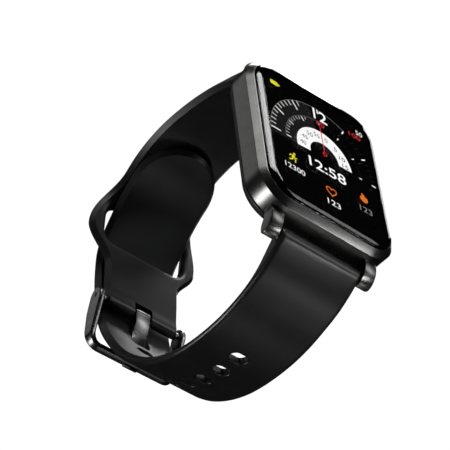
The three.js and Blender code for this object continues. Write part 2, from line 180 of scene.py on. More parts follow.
def add_bump(material, pattern, depth_mm):
    bump = add_node(material, "ShaderNodeBump", Strength=1.0, Distance=depth_mm * MM)
    link(material, pattern, bump.inputs["Height"])
    drive(material, bump.outputs["Normal"], "Normal")


def silicone():
    """Satin black moulded silicone: a fine skin, slightly mottled in gloss."""
    material = principled("silicone", (0.012, 0.012, 0.013), 0.34, Specular_IOR_Level=0.5)
    vary_colour(material, noise(material, 180.0), (0.010, 0.010, 0.011), (0.014, 0.014, 0.015))
    vary_roughness(material, noise(material, 5000.0, 2.0), 0.32, 0.37)
    add_bump(material, noise(material, 9000.0, 2.0), 0.002)
    return material


def blasted_metal():
    """Gunmetal, bead blasted: a fine even grain."""
    material = principled("blasted_gunmetal", (0.16, 0.16, 0.155), 0.28, 1.0)
    vary_colour(material, noise(material, 400.0), (0.15, 0.15, 0.147), (0.175, 0.175, 0.17))
    vary_roughness(material, noise(material, 4000.0, 2.0), 0.27, 0.30)
    add_bump(material, noise(material, 9000.0, 2.0), 0.001)
    return material


def brushed_metal(name, colour, low, high):
    """Metal brushed along X, as a rolled and tumbled buckle is."""
    material = principled(name, colour, (low + high) / 2, 1.0)
    streaks = noise(material, 900.0, 4.0, (0.06, 1.0, 1.0))
    vary_roughness(material, streaks, low, high)
    add_bump(material, noise(material, 3500.0, 3.0, (0.05, 1.0, 1.0)), 0.003)
    return material


def moulded_plastic(name, colour, roughness):
    """Black plastic or rubber with a moulding texture, uneven in gloss."""
    material = principled(name, colour, roughness)
    vary_roughness(material, noise(material, 1500.0, 4.0), roughness - 0.06, roughness + 0.06)
    add_bump(material, noise(material, 6000.0, 2.0), 0.004)
    return material


def clear_glass():
    """Polished cover glass, with the faintest unevenness in its polish."""
    material = principled("cover_glass", (1.0, 1.0, 1.0), 0.01, IOR=1.45, Transmission_Weight=1.0)
    vary_roughness(material, noise(material, 60.0), 0.005, 0.015)
    return material


def dark_glass():
    """The tinted glass over the sensor."""
    material = principled("sensor_glass", (0.004, 0.004, 0.005), 0.04, IOR=1.5, Coat_Weight=0.5)
    vary_roughness(material, noise(material, 80.0), 0.03, 0.06)
    return material


def tinted_window(name, roughness):
    """A small dark red window over a lamp or a light sensor."""
    material = principled(name, (0.03, 0.008, 0.008), roughness, Coat_Weight=1.0)
    vary_roughness(material, noise(material, 200.0), roughness, roughness + 0.04)
    return material


def display_black():
    """The unlit panel: nearly black, with no gloss of its own behind the glass."""
    material = principled("display_black", (0.0012, 0.0012, 0.0013), 0.3, Specular_IOR_Level=0.0)
    vary_roughness(material, noise(material, 2000.0), 0.28, 0.32)
    return material


def lit(name, colour, strength):
    """A lit part of the display, with the panel's fine pixel rows in its brightness."""
    material = principled(name, (0.0, 0.0, 0.0), 0.5, Specular_IOR_Level=0.0,
                          Emission_Color=(*colour, 1.0))
    place = add_node(material, "ShaderNodeTexCoord")
    rows = add_node(material, "ShaderNodeTexWave", Scale=1600.0)
    link(material, place.outputs["Object"], rows.inputs["Vector"])
    mapped = spread(material, rows.outputs["Fac"], (0.0, 1.0), (strength * 0.94, strength))
    drive(material, mapped.outputs["Result"], "Emission Strength")
    return material


def circuit_board():
    """Green board with the mottling of copper and parts under its lacquer."""
    material = principled("circuit_board", (0.02, 0.10, 0.05), 0.45)
    vary_colour(material, noise(material, 700.0, 6.0), (0.015, 0.08, 0.04), (0.03, 0.13, 0.06))
    add_bump(material, noise(material, 1200.0), 0.01)
    return material


MATERIALS = {
    "silicone": silicone(),
    "case_metal": blasted_metal(),
    "buckle_metal": brushed_metal("brushed_gunmetal", (0.22, 0.22, 0.22), 0.22, 0.36),
    "steel": brushed_metal("satin_steel", (0.45, 0.46, 0.47), 0.24, 0.34),
    "contact_gold": brushed_metal("plated_contact", (0.75, 0.55, 0.22), 0.18, 0.28),
    "battery_foil": brushed_metal("battery_foil", (0.50, 0.51, 0.52), 0.35, 0.50),
    "back_plastic": moulded_plastic("back_plastic", (0.016, 0.016, 0.017), 0.45),
    "seal_rubber": moulded_plastic("seal_rubber", (0.02, 0.02, 0.02), 0.75),
    "display": display_black(),
    "front_glass": clear_glass(),
    "sensor_glass": dark_glass(),
    "board": circuit_board(),
}


# ------------------------------------------------------------ meshes

SHARP_DEGREES = 35
FLAT_SHAPE_SHARP_DEGREES = 30


def finish_mesh(name, bm, sharp_degrees):
    bmesh.ops.remove_doubles(bm, verts=bm.verts, dist=1e-7)
    bmesh.ops.dissolve_degenerate(bm, edges=bm.edges, dist=1e-7)
    bmesh.ops.recalc_face_normals(bm, faces=bm.faces)
    mesh = bpy.data.meshes.new(name)
    bm.to_mesh(mesh)
    bm.free()
    mesh.shade_smooth()
    mesh.set_sharp_from_angle(angle=math.radians(sharp_degrees))
    return mesh


def mesh_of(name, points, faces, sharp_degrees=SHARP_DEGREES):
    """A mesh from points in millimetres."""
    bm = bmesh.new()
    corners = [bm.verts.new(Vector(point) * MM) for point in points]
    for face in faces:
        bm.faces.new([corners[i] for i in face])
    return finish_mesh(name, bm, sharp_degrees)


def add_piece(name, mesh, slot, body=None, replaces=(), material=None):
    """A visible piece, which rides on a body when one is given."""
    mesh.materials.clear()
    mesh.materials.append(material or MATERIALS[slot])
    piece = bpy.data.objects.new(name, mesh)
    bpy.context.collection.objects.link(piece)
    if body:
        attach(piece, body)
    if replaces:
        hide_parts(*replaces)
    return piece


def loft_faces(ring_count, size, closed=False):
    """Faces through rings of points that all have the same size."""
    faces = []
    for ring in range(ring_count if closed else ring_count - 1):
        here, there = ring * size, (ring + 1) % ring_count * size
        for i in range(size):
            following = (i + 1) % size
            faces.append((here + i, here + following, there + following, there + i))
    if not closed:
        faces.append(tuple(range(size)))
        faces.append(tuple(range((ring_count - 1) * size, ring_count * size)))
    return faces


def loft(name, rings, closed=False):
    points = [point for ring in rings for point in ring]
    return mesh_of(name, points, loft_faces(len(rings), len(rings[0]), closed))


def rounded(outline, radii, steps=5, closed=True):
    """An outline in a plane with each corner turned into an arc of its own radius."""
    count = len(outline)
    radii = [radii] * count if np.isscalar(radii) else radii
    points = []
    for i, corner in enumerate(np.array(outline, float)):
        if radii[i] == 0 or (not closed and i in (0, count - 1)):
            points.append(tuple(corner))
            continue
        before = np.array(outline[i - 1], float) - corner
        after = np.array(outline[(i + 1) % count], float) - corner
        reach = min(np.linalg.norm(before), np.linalg.norm(after)) * 0.49
        before /= np.linalg.norm(before)
        after /= np.linalg.norm(after)
        half = math.acos(np.clip(before @ after, -1, 1)) / 2
        trim = min(radii[i] / math.tan(half), reach)
        radius = trim * math.tan(half)
        middle = before + after
        centre = corner + middle / np.linalg.norm(middle) * radius / math.sin(half)
        first = corner + before * trim - centre
        last = corner + after * trim - centre
        sweep = math.pi - 2 * half
        for step in range(steps + 1):
            share = step / steps
            part = math.sin((1 - share) * sweep), math.sin(share * sweep)
            points.append(tuple(centre + (first * part[0] + last * part[1]) / math.sin(sweep)))
    return points


def rounded_ring(half_x, half_y, radius, z, steps=18):
    """A rounded rectangle round the Z axis, as a ring of points."""
    ring = []
    for quarter in range(4):
        side_x = 1 if quarter in (0, 3) else -1
        side_y = 1 if quarter < 2 else -1
        for step in range(steps + 1):
            angle = (quarter + step / steps) * math.pi / 2
            ring.append((side_x * (half_x - radius) + radius * math.cos(angle),
                         side_y * (half_y - radius) + radius * math.sin(angle), z))
    return ring


def prism(name, outline, x0, x1, bevel):
    """An outline in the Y, Z plane made solid between x0 and x1, its end edges rounded."""
    bm = bmesh.new()
    ends = [[bm.verts.new(Vector((x, y, z)) * MM) for y, z in outline] for x in (x0, x1)]
    caps = [bm.faces.new(end) for end in ends]
    for i in range(len(outline)):
        following = (i + 1) % len(outline)
        bm.faces.new((ends[0][i], ends[0][following], ends[1][following], ends[1][i]))
    edges = [edge for cap in caps for edge in cap.edges]
    bmesh.ops.recalc_face_normals(bm, faces=bm.faces)
    bmesh.ops.bevel(bm, geom=edges, offset=bevel * MM, segments=3, profile=0.5,
                    affect="EDGES", clamp_overlap=True)
    return finish_mesh(name, bm, FLAT_SHAPE_SHARP_DEGREES)


def lathe(name, profile, place, axis="Z", steps=48):
    """A profile of (radius, height) turned round an axis through place."""
    rings = []
    for radius, height in profile:
        ring = []
        for step in range(steps):
            angle = 2 * math.pi * step / steps
            a, b = radius * math.cos(angle), radius * math.sin(angle)
            point = (a, b, height) if axis == "Z" else (height, a, b)
            ring.append(tuple(np.array(point) + place))
        rings.append(ring)
    return loft(name, rings)


def carve(piece, cutter_mesh, crosses_itself=False):
    """Cuts a mesh out of a piece for good. The straps need the slower cut, for meshes that cross."""
    cutter = bpy.data.objects.new("cutter", cutter_mesh)
    bpy.context.collection.objects.link(cutter)
    cut = piece.modifiers.new("cut", "BOOLEAN")
    cut.operation = "DIFFERENCE"
    cut.solver = "EXACT"
    cut.use_self = crosses_itself
    cut.object = cutter
    evaluated = piece.evaluated_get(bpy.context.evaluated_depsgraph_get())
    carved = bpy.data.meshes.new_from_object(evaluated)
    piece.modifiers.clear()
    piece.data = carved
    bpy.data.objects.remove(cutter)
    carved.shade_smooth()
    carved.set_sharp_from_angle(angle=math.radians(SHARP_DEGREES))


def box_mesh(x0, x1, y0, y1, z0, z1):
    corners = [(x, y, z) for z in (z0, z1) for x, y in ((x0, y0), (x1, y0), (x1, y1), (x0, y1))]
    return mesh_of("box", corners, loft_faces(2, 4))


def rod_mesh(radius, x0, x1, y, z):
    """A round bar along X."""
    return lathe("rod", [(radius, x0), (radius, x1)], (0, y, z), axis="X", steps=32)


# ------------------------------------------------------------ strap paths

PATH_STEP = 0.25
PATH_SMOOTHING = 3.0


def spline(points, steps=40):
    """The same centripetal curve through points as the CAD model's strap halves follow."""
    points = np.array(points, float)
    ends = 2 * points[0] - points[1], 2 * points[-1] - points[-2]
    points = np.vstack([ends[0], points, ends[1]])
    samples = []
    for before, here, there, after in zip(points, points[1:], points[2:], points[3:]):
        gaps = [math.sqrt(np.linalg.norm(b - a))
                for a, b in ((before, here), (here, there), (there, after))]
        leave = (here - before) / gaps[0] - (there - before) / (gaps[0] + gaps[1])
        leave = (leave + (there - here) / gaps[1]) * gaps[1]
        arrive = (there - here) / gaps[1] - (after - here) / (gaps[1] + gaps[2])
        arrive = (arrive + (after - there) / gaps[2]) * gaps[1]
        for t in np.arange(steps) / steps:
            bend = (3 * there - 3 * here - 2 * leave - arrive) * t ** 2
            samples.append(here + leave * t + bend + (2 * here - 2 * there + leave + arrive) * t ** 3)
    samples.append(points[-2])
    return np.array(samples)


class Path:
    """A smoothed line in the Y, Z plane, measured by its length in millimetres from its start."""

    def __init__(self, points):
        rough = spline(points)
        rough_arc = self.measure(rough)
        even = np.arange(0, rough_arc[-1], PATH_STEP)
        width = int(PATH_SMOOTHING / PATH_STEP)
        weights = np.hanning(2 * width + 1) / np.hanning(2 * width + 1).sum()
        columns = []
        for column in rough.T:
            line = np.interp(even, rough_arc, column)
            head = 2 * line[0] - line[width:0:-1]
            tail = 2 * line[-1] - line[-2:-width - 2:-1]
            columns.append(np.convolve(np.concatenate([head, line, tail]), weights, "valid"))
        self.samples = np.array(columns).T
        self.arc = self.measure(self.samples)
        self.length = self.arc[-1]
        self.tangents = np.gradient(self.samples, axis=0)
        self.tangents /= np.linalg.norm(self.tangents, axis=1)[:, None]

    @staticmethod
    def measure(samples):
        return np.concatenate([[0], np.cumsum(np.linalg.norm(np.diff(samples, axis=0), axis=1))])

    def place(self, s):
        """The point at s and the direction there. The line runs straight on past its ends."""
        inside = min(max(s, 0.0), self.length)
        point = np.array([np.interp(inside, self.arc, column) for column in self.samples.T])
        tangent = np.array([np.interp(inside, self.arc, column) for column in self.tangents.T])
        tangent /= np.linalg.norm(tangent)
        return point + tangent * (s - inside), tangent

    def to_space(self, s, x, n):
        """The point x across the line and n off it, in space."""
        (y, z), (along_y, along_z) = self.place(s)
        return x, y - along_z * n, z + along_y * n


# The strap's route repeats the CAD model's own points.
LONG_ROUTE = [
    (-24.6, 3.0), (-29.4, -4.0), (-32.2, -13.0), (-32.6, -21.5), (-31.1, -30.2), (-26.8, -38.6),
    (-20.0, -45.4), (-11.5, -50.1), (-6.3, -51.8), (-1.5, -52.4), (4.0, -52.4), (11.0, -51.6),
    (15.4, -50.5), (18.6, -48.3), (23.3, -43.5), (26.6, -39.2), (30.0, -32.4), (31.6, -26.6),
]
SHORT_ROUTE = [
    (24.6, 3.0), (28.7, -3.6), (31.9, -11.0), (33.9, -19.5), (34.4, -27.5), (32.8, -35.4),
    (29.2, -41.5), (24.4, -45.6), (16.8, -47.8), (7.0, -48.8), (-0.2, -49.9),
]
long_path = Path(LONG_ROUTE)
short_path = Path(SHORT_ROUTE)


# ------------------------------------------------------------ strap halves

STRAP_HALF_THICKNESS = 0.98
KNUCKLE_RADIUS = 1.9
KNUCKLE_FADE = 13.0
END_ROLL_RADIUS = 1.3
LUG_HALF_WIDTH = 10.7
STRAP_HALF_WIDTH = 10.3
SIDE_ROUNDING = 0.9
SIDE_BEVEL = 1.06
STATION_STEP = 0.7
HOLE_COUNT = 9
HOLE_FIRST = 26.7
HOLE_PITCH = 5.3
# A hole's half length, half width and corner radius, and its rim's rounding outside and at the wrist.
HOLE_SIZE = (1.3, 2.1, 1.3, 0.25, 0.25)
TANG_HOLE_SIZE = (2.7, 2.4, 1.3, 0.25, 0.25)
KEEPER_MIDDLE = 60.0
KEEPER_RISE = 15.0
KEEPER_FALL = 9.0
KEEPER_HALF_WIDTH = 15.1
SLOT_START = 54.3
SLOT_END = 63.4
SLOT_HALF_WIDTH = 11.0
ROUNDING_ANGLES = np.radians([0, 18, 36, 54, 72, 90])
BAR_PLACE = {6: (-24.6, 3.0), 12: (24.6, 3.0)}
BAR_BORE_RADIUS = 1.0
BUCKLE_BAR = joint_place("buckle_hinge")
BUCKLE_BORE_RADIUS = 0.75
NOTCH_HALF_WIDTH = 2.4


def smooth_step(t):
    t = min(max(t, 0.0), 1.0)
    return t * t * (3 - 2 * t)


def lug_end_thickness(s):
    """Half the thickness from the spring-bar knuckle into the plain strap."""
    if s < 0:
        return math.sqrt(max(KNUCKLE_RADIUS ** 2 - s * s, 0.0))
    return KNUCKLE_RADIUS + (STRAP_HALF_THICKNESS - KNUCKLE_RADIUS) * smooth_step(s / KNUCKLE_FADE)


def short_thickness(s):
    """The short half also swells into a roll round the buckle bar."""
    past_bar = s - short_path.length
    if past_bar > 0:
        return math.sqrt(max(END_ROLL_RADIUS ** 2 - past_bar ** 2, 0.0))
    swell = smooth_step(1 + past_bar / 3.0)
    return lug_end_thickness(s) + (END_ROLL_RADIUS - STRAP_HALF_THICKNESS) * swell


def long_half_width(s):
    return LUG_HALF_WIDTH + (STRAP_HALF_WIDTH - LUG_HALF_WIDTH) * min(max(s / 60, 0.0), 1.0)


def short_half_width(s):
    """The short half widens round its keeper slot."""
    plain = LUG_HALF_WIDTH - 0.5 * min(max(s / 45, 0.0), 1.0)
    reach = KEEPER_RISE if s < KEEPER_MIDDLE else KEEPER_FALL
    away = min(abs(s - KEEPER_MIDDLE) / reach, 1.0)
    return plain + (KEEPER_HALF_WIDTH - plain) * (0.5 + 0.5 * math.cos(math.pi * away))


def knuckle_stations():
    """Places along the strap that follow the knuckle's round end."""
    return [-KNUCKLE_RADIUS * math.cos(math.radians(a)) for a in range(0, 90, 9)]


def side_line(half_width, stations, inset):
    """One side of a strap as (s, x), moved in square to the side's own slope."""
    line = []
    for s in stations:
        slope = (half_width(s + 0.05) - half_width(s - 0.05)) / 0.1
        line.append((s, half_width(s) - inset * math.hypot(1, slope)))
    return line


def long_side(stations, inset):
    """Down one side, round the tail and back up the other."""
    centre = long_path.length - STRAP_HALF_WIDTH
    side = side_line(long_half_width, stations, inset)
    radius = STRAP_HALF_WIDTH - inset
    turn = [(centre + radius * math.sin(a), radius * math.cos(a))
            for a in np.linspace(0, math.pi, 49)[1:-1]]
    return side + turn + [(s, -x) for s, x in reversed(side)]


def cutout(centre, half_length, half_width, radius, rounding, wrist_rounding):
    """A rounded hole, with the rounding of its rim on the outer and on the wrist side."""
    return {"centre": centre, "half_length": half_length, "half_width": half_width,
            "radius": radius, "rounding": rounding, "wrist_rounding": wrist_rounding}


def cutout_line(hole, grow):
    ring = rounded_ring(hole["half_length"] + grow, hole["half_width"] + grow,
                        hole["radius"] + grow, 0.0, steps=8)
    return [(hole["centre"] + s, x) for s, x, _ in ring]


def distance_to_cutout(hole, s, x):
    reach_s = abs(s - hole["centre"]) - hole["half_length"] + hole["radius"]
    reach_x = abs(x) - hole["half_width"] + hole["radius"]
    outside = math.hypot(max(reach_s, 0), max(reach_x, 0))
    return outside + min(max(reach_s, reach_x), 0) - hole["radius"]


class Sheet:
    """The flat plan of a strap half: lines beside its edges, filled with points and triangles.

    Each point keeps how far the outer and the wrist surface drop there towards the middle.
    """

    def __init__(self):
        self.points = []
        self.drops = []
        self.edges = []
        self.walls = []

    def add_line(self, line, drops, closed):
        first = len(self.points)
        count = len(line)
        self.points += line
        self.drops += [drops] * count
        for i in range(count if closed else count - 1):
            self.edges.append((first + i, first + (i + 1) % count))
        return [first + i for i in range(count)]

    def add_hole(self, hole):
        """Round the hole's rim on the outer side, and wider on the wrist side."""
        reach = max(hole["rounding"], hole["wrist_rounding"])
        for i, angle in enumerate(ROUNDING_ANGLES):
            grow = reach * (1 - math.cos(angle))
            drops = quarter_round(grow, hole["rounding"]), quarter_round(grow, hole["wrist_rounding"])
            ring = self.add_line(cutout_line(hole, grow), drops, closed=True)
            if i == 0:
                self.walls.append(ring)

    def add_point(self, s, x):
        self.points.append((s, x))
        self.drops.append((0.0, 0.0))


def quarter_round(inset, radius):
    """How far a quarter-round edge has dropped at an inset from the rim."""
    if inset >= radius:
        return 0.0
    return radius - math.sqrt(radius ** 2 - (radius - inset) ** 2)


def side_drops(inset):
    """Rounded on the outer side, and a flat bevel on the wrist side."""
    return quarter_round(inset, SIDE_ROUNDING), SIDE_BEVEL * (1 - inset / SIDE_ROUNDING)


def inside(polygon, point):
    """Whether a point is inside a closed polygon, by counting crossings."""
    x, y = point
    x0, y0 = polygon.T
    x1, y1 = np.roll(x0, -1), np.roll(y0, -1)
    spans = (y0 > y) != (y1 > y)
    rise = np.where(spans, y1 - y0, 1.0)
    return np.count_nonzero(spans & (x < (x1 - x0) * (y - y0) / rise + x0)) % 2 == 1


def fill_sheet(sheet, stations, half_width, holes, tail_centre=None):
    """Adds the plain points between the edges."""
    for s in stations:
        room = half_width(s) - SIDE_ROUNDING - 0.45
        for share in np.linspace(-1, 1, 15):
            x = room * share
            if tail_centre is not None and s > tail_centre:
                if math.hypot(s - tail_centre, x) > STRAP_HALF_WIDTH - SIDE_ROUNDING - 0.4:
                    continue
            if all(distance_to_cutout(hole, s, x) > hole["wrist_rounding"] + 0.4 for hole in holes):
                sheet.add_point(s, x)


def strap_mesh(name, path, sheet, outline, hole_outlines, half_thickness, wrist):
    """Turns a plan into a closed strap: two skins, joined by walls along every edge."""
    flat = [Vector(point) for point in sheet.points]
    corners, _, triangles, sources, _, _ = delaunay_2d_cdt(flat, sheet.edges, [], 0, 1e-5, True)
    where = {source: i for i, group in enumerate(sources) for source in group}
    outer, inner = [], []
    for (s, _), group in zip(corners, sources):
        outer_drop, wrist_drop = sheet.drops[group[0]] if group else (0.0, 0.0)
        full = half_thickness(s)
        outer.append(-wrist * (full - min(outer_drop, full)))
        inner.append(wrist * (full - min(wrist_drop, 2 * full)))
    outline = np.array(outline)
    hole_outlines = [np.array(line) for line in hole_outlines]
    kept = []
    for triangle in triangles:
        middle = sum((corners[i] for i in triangle), Vector((0, 0))) / 3
        if inside(outline, middle) and not any(inside(line, middle) for line in hole_outlines):
            kept.append(tuple(triangle))
    used = {i for triangle in kept for i in triangle}
    count = len(corners)
    points = [path.to_space(s, x, n) for (s, x), n in zip(corners, outer)]
    points += [path.to_space(s, x, n) for (s, x), n in zip(corners, inner)]
    faces = kept + [tuple(count + i for i in reversed(triangle)) for triangle in kept]
    for wall in sheet.walls:
        ring = [where[i] for i in wall]
        for here, there in zip(ring, ring[1:] + ring[:1]):
            height = abs(outer[here] - inner[here]) + abs(outer[there] - inner[there])
            if here != there and {here, there} <= used and height > 1e-4:
                faces.append((here, there, count + there, count + here))
    return mesh_of(name, points, faces, sharp_degrees=32)


def strap_half(name, path, half_width, half_thickness, holes, round_tail):
    """A strap half from its knuckle to a round tail, or to the roll round the buckle bar."""
    tail_centre = path.length - STRAP_HALF_WIDTH if round_tail else None
    body_end = tail_centre if round_tail else path.length - 1.5
    stations = knuckle_stations() + list(np.arange(0.0, body_end, STATION_STEP)) + [body_end]
    if round_tail:
        tail_stations = np.arange(body_end + STATION_STEP, path.length - 0.5, STATION_STEP)
        fill_stations = stations + list(tail_stations)
    else:
        stations += [body_end + 0.75, path.length] + end_roll_stations()
        fill_stations = stations[:-1]

    def side(inset):
        if round_tail:
            return long_side(stations, inset)
        line = side_line(half_width, stations, inset)
        return line + [(s, -x) for s, x in reversed(line)]

    sheet = Sheet()
    sheet.walls.append(sheet.add_line(side(0), side_drops(0), closed=True))
    for angle in ROUNDING_ANGLES[1:]:
        inset = SIDE_ROUNDING * (1 - math.cos(angle))
        line = side(inset)
        runs = [line] if round_tail else [line[:len(line) // 2], line[len(line) // 2:]]
        for run in runs:
            sheet.add_line(run, side_drops(inset), closed=False)
    for hole in holes:
        sheet.add_hole(hole)
    fill_sheet(sheet, fill_stations, half_width, holes, tail_centre)
    hole_outlines = [cutout_line(hole, 0) for hole in holes]
    wrist = 1 if round_tail else -1
    return strap_mesh(name, path, sheet, side(0), hole_outlines, half_thickness, wrist)


def end_roll_stations():
    """Places past the buckle bar that follow the roll's round end."""
    bar = short_path.length
    return [bar + END_ROLL_RADIUS * math.sin(math.radians(a)) for a in (20, 40, 60, 75, 90)]


def long_strap():
    centres = [HOLE_FIRST + HOLE_PITCH * i for i in range(HOLE_COUNT)]
    holes = [cutout(centre, *HOLE_SIZE) for centre in centres[:-1]]
    tang_hole = cutout(centres[-1], *TANG_HOLE_SIZE)
    mesh = strap_half("long_strap", long_path, long_half_width, lug_end_thickness,
                      holes + [tang_hole], round_tail=True)
    return add_piece("long_strap", mesh, "silicone",
                     replaces=("long_strap_upper", "long_strap_lower"))


def short_strap():
    slot = cutout((SLOT_START + SLOT_END) / 2, (SLOT_END - SLOT_START) / 2, SLOT_HALF_WIDTH, 2.6,
                  0.5, 1.3)
    mesh = strap_half("short_strap", short_path, short_half_width, short_thickness,
                      [slot], round_tail=False)
    return add_piece("short_strap", mesh, "silicone",
                     replaces=("short_strap_upper", "short_strap_lower"))


def open_knuckle(strap, clock):
    """The spring bar's bore and the window where the quick-release lever moves."""
    y, z = BAR_PLACE[clock]
    carve(strap, rod_mesh(BAR_BORE_RADIUS, -12, 12, y, z), crosses_itself=True)
    towards = 1 if clock == 6 else -1
    window = box_mesh(3.4, 7.0, -0.9, 0.9, 0, 4)
    lean = math.atan2(towards * 0.55, -0.84)
    turn = Matrix.Translation(Vector((0, y, z)) * MM) @ Matrix.Rotation(-lean, 4, "X")
    window.transform(turn)
    carve(strap, window, crosses_itself=True)


def open_buckle_end(strap):
    """The buckle bar's bore and the notch that leaves the tang room to turn."""
    y, z = BUCKLE_BAR
    notch = box_mesh(-NOTCH_HALF_WIDTH, NOTCH_HALF_WIDTH, y - 2.2, y + 2.0, z - 3, z + 3)
    carve(strap, notch, crosses_itself=True)
    carve(strap, rod_mesh(BUCKLE_BORE_RADIUS, -12, 12, y, z), crosses_itself=True)


long_strap_piece = long_strap()
open_knuckle(long_strap_piece, 6)
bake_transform(long_strap_piece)

short_strap_piece = short_strap()
open_knuckle(short_strap_piece, 12)
open_buckle_end(short_strap_piece)
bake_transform(short_strap_piece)


# ------------------------------------------------------------ case

CASE_HALF_X = 18.4
CASE_HALF_Y = 21.45
CASE_RADIUS = 7.85
LUG_INNER = 11.0
LUG_OUTER = {6: 14.2, 12: 12.6}
LUG_HOLE_END = 12.2
LUG_HOLE_RADIUS = 0.65
LUG_FRONT = [(20.4, 6.2), (22.0, 6.15), (23.5, 5.75), (24.7, 4.95), (25.4, 4.15), (25.8, 3.3)]
LUG_REAR = [(25.3, 2.0), (24.4, 2.1), (23.4, 2.5), (22.2, 3.3), (20.4, 3.9)]
MICROPHONE_HOLE = (-2.4, -19.0, 4.3)
GLASS_TOP = 9.9
GLASS_EDGE = 9.05
GLASS_BOTTOM = 8.45
GLASS_INSET = 1.42
GLASS_ROLL = 2.3


def case_ring(inset, z, steps=18):
    return rounded_ring(CASE_HALF_X - inset, CASE_HALF_Y - inset, CASE_RADIUS - inset, z, steps)


def case_shell():
    """The metal frame's section, run round the case: wall, chamfer, glass seat and hollow."""
    section = [(1.25, 8.98), (1.37, 9.0), (1.36, 8.1), (2.65, 8.1), (2.65, 7.3), (1.4, 7.3),
               (1.4, 3.3), (0.0, 3.3), (0.0, 7.7)]
    radii = [0.12, 0.05, 0.05, 0.05, 0.05, 0.1, 0.08, 0.4, 0.15]
    rings = [case_ring(inset, z) for inset, z in rounded(section, radii)]
    shell = add_piece("case_shell", loft("case_shell", rings, closed=True), "case_metal", "case",
                      replaces=("case_frame",))
    mic_hole = lathe("mic_hole", [(0.42, 0), (0.42, 4)], (0, 0, 0), steps=24)
    mic_hole.transform(Matrix.Translation(Vector(MICROPHONE_HOLE) * MM)
                       @ Matrix.Rotation(math.radians(90), 4, "X"))
    carve(shell, mic_hole)
    low, high = node_box("side_button")
    gap = 0.15
    carve(shell, box_mesh(CASE_HALF_X - 0.7, 21, low[1] - gap, high[1] + gap,
                          low[2] - gap, high[2] + gap))
    middle = (low + high) / 2
    carve(shell, rod_mesh(1.0, 15, 20, middle[1], middle[2]))


def lugs():
    """Four horns that hold the spring bars, each with a blind hole."""
    front = spline(LUG_FRONT, steps=4)
    rear = spline(LUG_REAR, steps=4)
    smooth = [tuple(point) for point in front] + [(25.8, 2.6)] + [tuple(point) for point in rear]
    for clock, side_y in ((12, 1), (6, -1)):
        for hand, side_x in (("left", -1), ("right", 1)):
            x0, x1 = sorted((side_x * LUG_INNER, side_x * LUG_OUTER[clock]))
            name = f"lug_{clock}_{hand}"
            mesh = prism(name, [(side_y * y, z) for y, z in smooth], x0, x1, 0.2)
            lug = add_piece(name, mesh, "case_metal", "case")
            y, z = BAR_PLACE[clock]
            hole = sorted((side_x * (LUG_INNER - 0.5), side_x * LUG_HOLE_END))
            carve(lug, rod_mesh(LUG_HOLE_RADIUS, *hole, y, z))


def side_button():
    """A long cap with softened edges, on a round stem."""
    low, high = node_box("side_button")
    middle = (low + high) / 2
    half_length = (high[1] - low[1]) / 2
    half_height = (high[2] - low[2]) / 2
    profile = [(-0.85, 0.15), (-0.8, 0.0), (-0.3, 0.0), (-0.14, 0.05), (-0.05, 0.16), (0, 0.4)]
    rings = []
    for out, inset in profile:
        radius = half_height - inset - 0.02
        ring = rounded_ring(half_length - inset, half_height - inset, radius, 0.0, 10)
        rings.append([(high[0] + out, middle[1] + y, middle[2] + z) for y, z, _ in ring])
    add_piece("button_cap", loft("button_cap", rings), "case_metal", "button",
              replaces=("side_button",))
    stem = lathe("button_stem", [(0.65, low[0]), (0.8, low[0] + 0.15), (0.8, high[0] - 0.6)],
                 (0, middle[1], middle[2]), axis="X")
    add_piece("button_stem", stem, "case_metal", "button")


def cover_glass():
    """A flat face that rolls down to a thin edge all round."""
    profile = [(GLASS_INSET + 0.1, GLASS_BOTTOM), (GLASS_INSET, GLASS_BOTTOM + 0.1),
               (GLASS_INSET, GLASS_EDGE)]
    for angle in np.radians(np.arange(6, 91, 6)):
        profile.append((GLASS_INSET + GLASS_ROLL * (1 - math.cos(angle)),
                        GLASS_EDGE + (GLASS_TOP - GLASS_EDGE) * math.sin(angle)))
    rings = [case_ring(inset, z, 24) for inset, z in profile]
    add_piece("cover_glass", loft("cover_glass", rings), "front_glass", "case",
              replaces=("front_glass",))


def printed_border():
    """The black face behind the glass, and the black print under its rolled rim."""
    rings = [case_ring(1.5, 8.36, 24), case_ring(1.5, 8.40, 24)]
    add_piece("panel_face", loft("panel_face", rings), "display", "case")
    print_inset = GLASS_INSET + 0.06
    profile = [(3.6, 8.47), (print_inset, 8.47)]
    for angle in np.radians(np.arange(0, 73, 8)):
        profile.append((print_inset + 2.1 * (1 - math.cos(angle)),
                        GLASS_EDGE + 0.74 * math.sin(angle)))
    rings = [case_ring(inset, z, 24) for inset, z in profile]
    add_piece("rim_print", loft("rim_print", rings, closed=True), "display", "case")


def place_on_back(node):
    """The middle of a CAD node, moved to the level of the sensor window's outer face."""
    low, high = node_box(node)
    return *((low + high) / 2)[:2], 0


